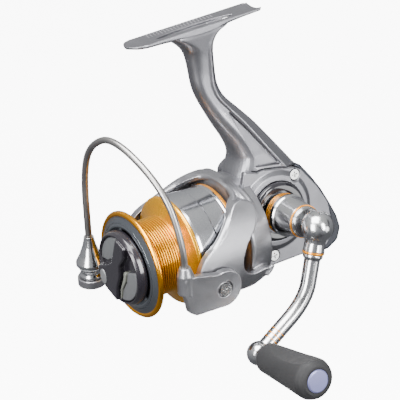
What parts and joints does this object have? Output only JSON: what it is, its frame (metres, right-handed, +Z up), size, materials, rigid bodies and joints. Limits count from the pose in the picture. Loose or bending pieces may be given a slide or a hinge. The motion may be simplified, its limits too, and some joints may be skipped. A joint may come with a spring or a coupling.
{
  "type": "spinning reel",
  "caption": "Open-face spinning fishing reel with rod foot, turning rotor and bail, skirted grooved spool, front drag knob and fold-down crank handle.",
  "frame": {"origin": "middle of the rod-seat face on top of the foot", "axes": "+Z up out of the foot, -Y toward the spool front, +X toward the crank"},
  "size_m": [0.1012, 0.0879, 0.1142],
  "materials": {
    "cast_satin": "satin metallic grey",
    "cast_dark": "satin dark grey",
    "rotor_silver": "satin silver with fine flake",
    "gold_anodised": "polished gold anodising",
    "skirt_silver": "polished",
    "plate_grey": "satin",
    "chrome": "polished",
    "steel": "brushed",
    "brass": "machined",
    "orange_accent": "orange anodising",
    "black_gloss": "glossy black",
    "charcoal": "satin charcoal",
    "button_grey": "satin light grey",
    "grip_rubber": "matte soft rubber",
    "cap_blue_grey": "satin blue-grey",
    "felt": "felt",
    "nylon": "white nylon",
    "zinc": "die-cast zinc"
  },
  "bodies": {
    "frame": {"body_frame": "cast_satin", "side_cover": "cast_satin", "rear_cover": "cast_dark", "side_cover_screws": "steel", "rear_cover_screw": "steel", "crank_boss_ring": "black_gloss", "left_screw_cap": "black_gloss", "drive_bearing_left": "steel", "drive_bearing_right": "steel", "pinion_bearing": "steel", "one_way_clutch": "steel", "crosswind_guide": "steel", "oscillation_axle": "steel"},
    "crank": {"drive_gear": "zinc", "handle_shank": "chrome", "handle_band_rings": "orange_accent", "shank_accent_ring": "orange_accent", "crank_tongue": "chrome", "fold_pin": "steel"},
    "crank_arm": {"handle_knuckle": "chrome", "arm_accent_ring": "orange_accent", "handle_arm": "chrome", "arm_band_rings": "orange_accent", "knob_screw": "steel"},
    "knob": {"knob_grip": "grip_rubber", "knob_cap": "cap_blue_grey", "knob_bushes": "nylon"},
    "rotor_group": {"rotor": "rotor_silver", "rotor_nut": "brass", "pinion_gear": "brass", "bail_pivot_screw_right": "steel", "bail_pivot_screw_left": "steel"},
    "bail": {"bail_wire": "chrome", "bail_holder": "rotor_silver", "bail_lever": "rotor_silver", "bail_cone": "chrome", "roller_bush": "nylon", "roller_bolt": "steel"},
    "roller": {"line_roller": "chrome"},
    "crosswind": {"oscillation_gear": "nylon"},
    "shaft": {"main_shaft": "steel", "crosswind_block": "zinc", "crosswind_screw": "steel", "spool_support_washer": "nylon"},
    "spool_group": {"spool": "gold_anodised", "spool_lip": "gold_anodised", "spool_front_plate": "plate_grey", "spool_skirt": "skirt_silver", "skirt_accent_ring": "orange_accent", "spool_click_gear": "nylon", "drag_washers_metal": "steel", "drag_washers_felt": "felt", "drag_retainer": "steel"},
    "drag_control": {"drag_knob": "charcoal", "drag_knob_button": "button_grey"}
  },
  "joints": [
    {"name": "crank_turn", "type": "hinge", "parent": "frame", "child": "crank", "pos_m": [0, 0.017, -0.0705], "axis": [1, 0, 0], "continuous": true},
    {"name": "handle_fold", "type": "hinge", "parent": "crank", "child": "crank_arm", "pos_m": [0.0354, 0.017, -0.0705], "axis": [0, -0.9397, 0.342], "range_deg": [0, 90]},
    {"name": "knob_turn", "type": "hinge", "parent": "crank_arm", "child": "knob", "pos_m": [0.0348, -0.0126, -0.1073], "axis": [1, 0, 0], "continuous": true},
    {"name": "rotor_spin", "type": "hinge", "parent": "frame", "child": "rotor_group", "pos_m": [0, 0, -0.0755], "axis": [0, 1, 0], "continuous": true},
    {"name": "bail_open", "type": "hinge", "parent": "rotor_group", "child": "bail", "pos_m": [-0.00083, -0.0164, -0.08023], "axis": [0.9848, 0, -0.1736], "range_deg": [0, 100]},
    {"name": "line_roller_turn", "type": "hinge", "parent": "bail", "child": "roller", "pos_m": [-0.02533, -0.03938, -0.08322], "axis": [0.1736, 0, 0.9848], "continuous": true},
    {"name": "crosswind_turn", "type": "hinge", "parent": "frame", "child": "crosswind", "pos_m": [0, 0.02735, -0.0705], "axis": [1, 0, 0], "continuous": true},
    {"name": "spool_stroke", "type": "slide", "parent": "frame", "child": "shaft", "axis": [0, -1, 0], "range_m": [0, 0.007]},
    {"name": "drag_slip", "type": "hinge", "parent": "shaft", "child": "spool_group", "pos_m": [0, -0.03, -0.0755], "axis": [0, 1, 0], "continuous": true},
    {"name": "drag_adjust", "type": "hinge", "parent": "shaft", "child": "drag_control", "pos_m": [0, -0.04, -0.0755], "axis": [0, -1, 0], "range_deg": [-360, 720]}
  ],
  "couplings": [
    {"joint": "rotor_spin", "follows": "crank_turn", "ratio": -5},
    {"joint": "crosswind_turn", "follows": "crank_turn", "ratio": -0.53333}
  ]
}
